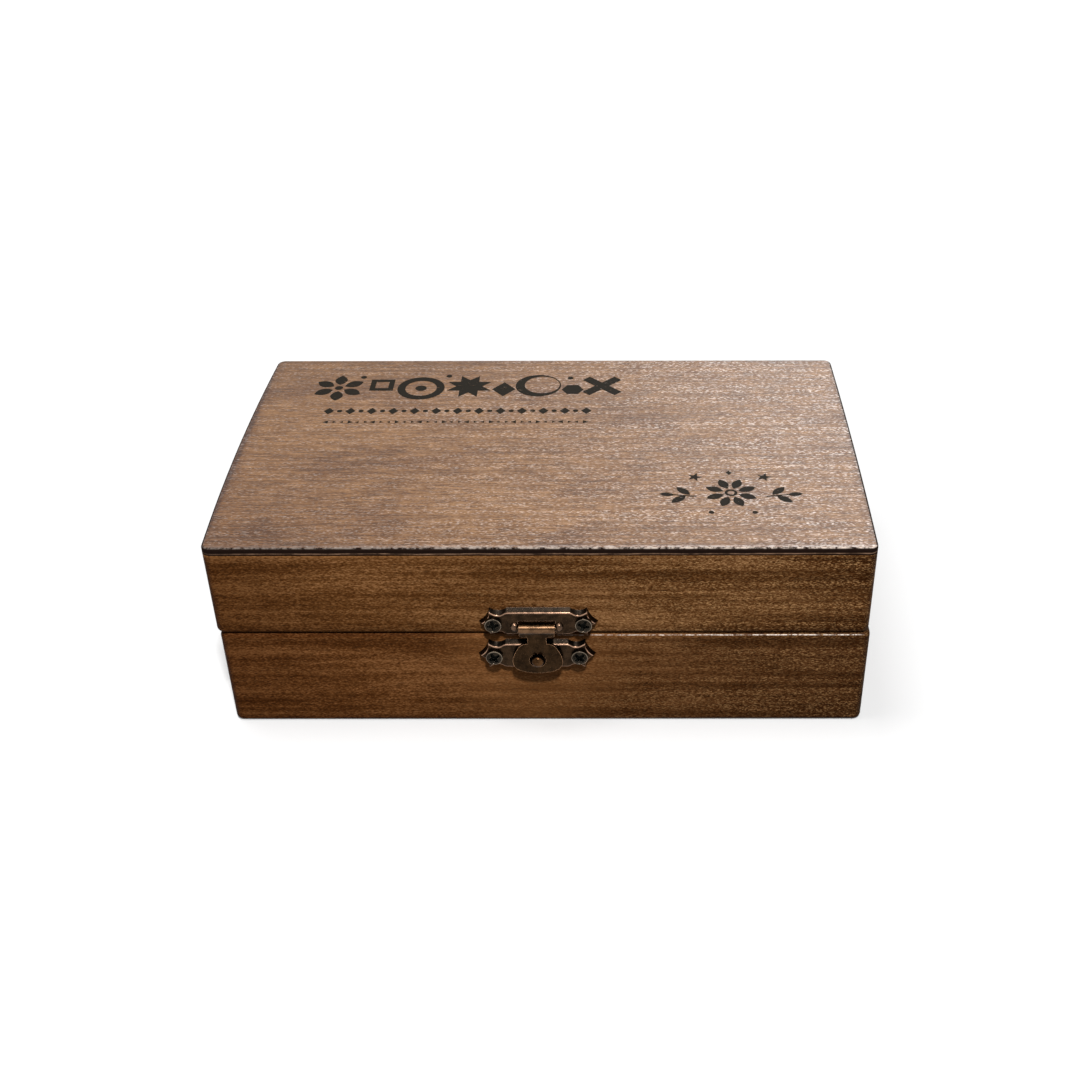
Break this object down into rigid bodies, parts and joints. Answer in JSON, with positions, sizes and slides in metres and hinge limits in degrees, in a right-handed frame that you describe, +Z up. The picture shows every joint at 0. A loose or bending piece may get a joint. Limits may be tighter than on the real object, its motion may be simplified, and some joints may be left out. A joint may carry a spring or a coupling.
{
  "type": "stamp box",
  "caption": "Hinged wooden box with a hasp on the front, holding rows of small wooden rubber stamps.",
  "frame": {"origin": "centre of the base's underside, on the surface the box stands on", "axes": "+X to the right along the box, +Y to the hinges at the back, +Z up; the hasp faces -Y"},
  "size_m": [0.1521, 0.098, 0.05],
  "materials": {
    "stained_wood": "dark walnut stain, satin, grain showing",
    "panel_wood": "stained plywood face, satin, fine grain",
    "antique_bronze": "dark antique bronze plating, worn to copper on the edges",
    "dark_screws": "darkened steel, slightly worn",
    "stamp_wood": "pale bare hardwood, sanded",
    "stamp_rubber": "red-brown stamp rubber, matte"
  },
  "bodies": {
    "base": {"base_front_board": "stained_wood", "base_back_board": "stained_wood", "base_left_board": "stained_wood", "base_right_board": "stained_wood", "base_bottom_panel": "panel_wood", "hasp_lower_plate": "antique_bronze", "hasp_stud": "antique_bronze", "hasp_lower_screws": "dark_screws", "hinge_left_lower_leaf": "antique_bronze", "hinge_left_pin": "antique_bronze", "hinge_right_lower_leaf": "antique_bronze", "hinge_right_pin": "antique_bronze", "hinge_lower_screws": "dark_screws", "stamp_blocks_row_1": "stamp_wood", "stamp_blocks_row_2": "stamp_wood", "stamp_blocks_row_3": "stamp_wood", "stamp_blocks_row_4": "stamp_wood", "stamp_blocks_row_5": "stamp_wood", "stamp_blocks_row_6": "stamp_wood", "stamp_blocks_row_7": "stamp_wood", "stamp_dies_row_1": "stamp_rubber", "stamp_dies_row_2": "stamp_rubber", "stamp_dies_row_3": "stamp_rubber", "stamp_dies_row_4": "stamp_rubber", "stamp_dies_row_5": "stamp_rubber", "stamp_dies_row_6": "stamp_rubber", "stamp_dies_row_7": "stamp_rubber"},
    "lid": {"lid_front_board": "stained_wood", "lid_back_board": "stained_wood", "lid_left_board": "stained_wood", "lid_right_board": "stained_wood", "lid_top_panel": "panel_wood", "hasp_upper_plate": "antique_bronze", "hasp_tongue_pin": "antique_bronze", "hasp_upper_screws": "dark_screws", "hinge_left_upper_leaf": "antique_bronze", "hinge_right_upper_leaf": "antique_bronze", "hinge_upper_screws": "dark_screws"},
    "tongue": {"hasp_tongue": "antique_bronze"}
  },
  "joints": [
    {"name": "lid_hinge", "type": "hinge", "parent": "base", "child": "lid", "pos_m": [0, 0.0472, 0.02615], "axis": [-1, 0, 0], "range_deg": [0, 180]},
    {"name": "tongue_hinge", "type": "hinge", "parent": "lid", "child": "tongue", "pos_m": [-0.0017, -0.0471, 0.0289], "axis": [-1, 0, 0], "range_deg": [0, 145]}
  ]
}
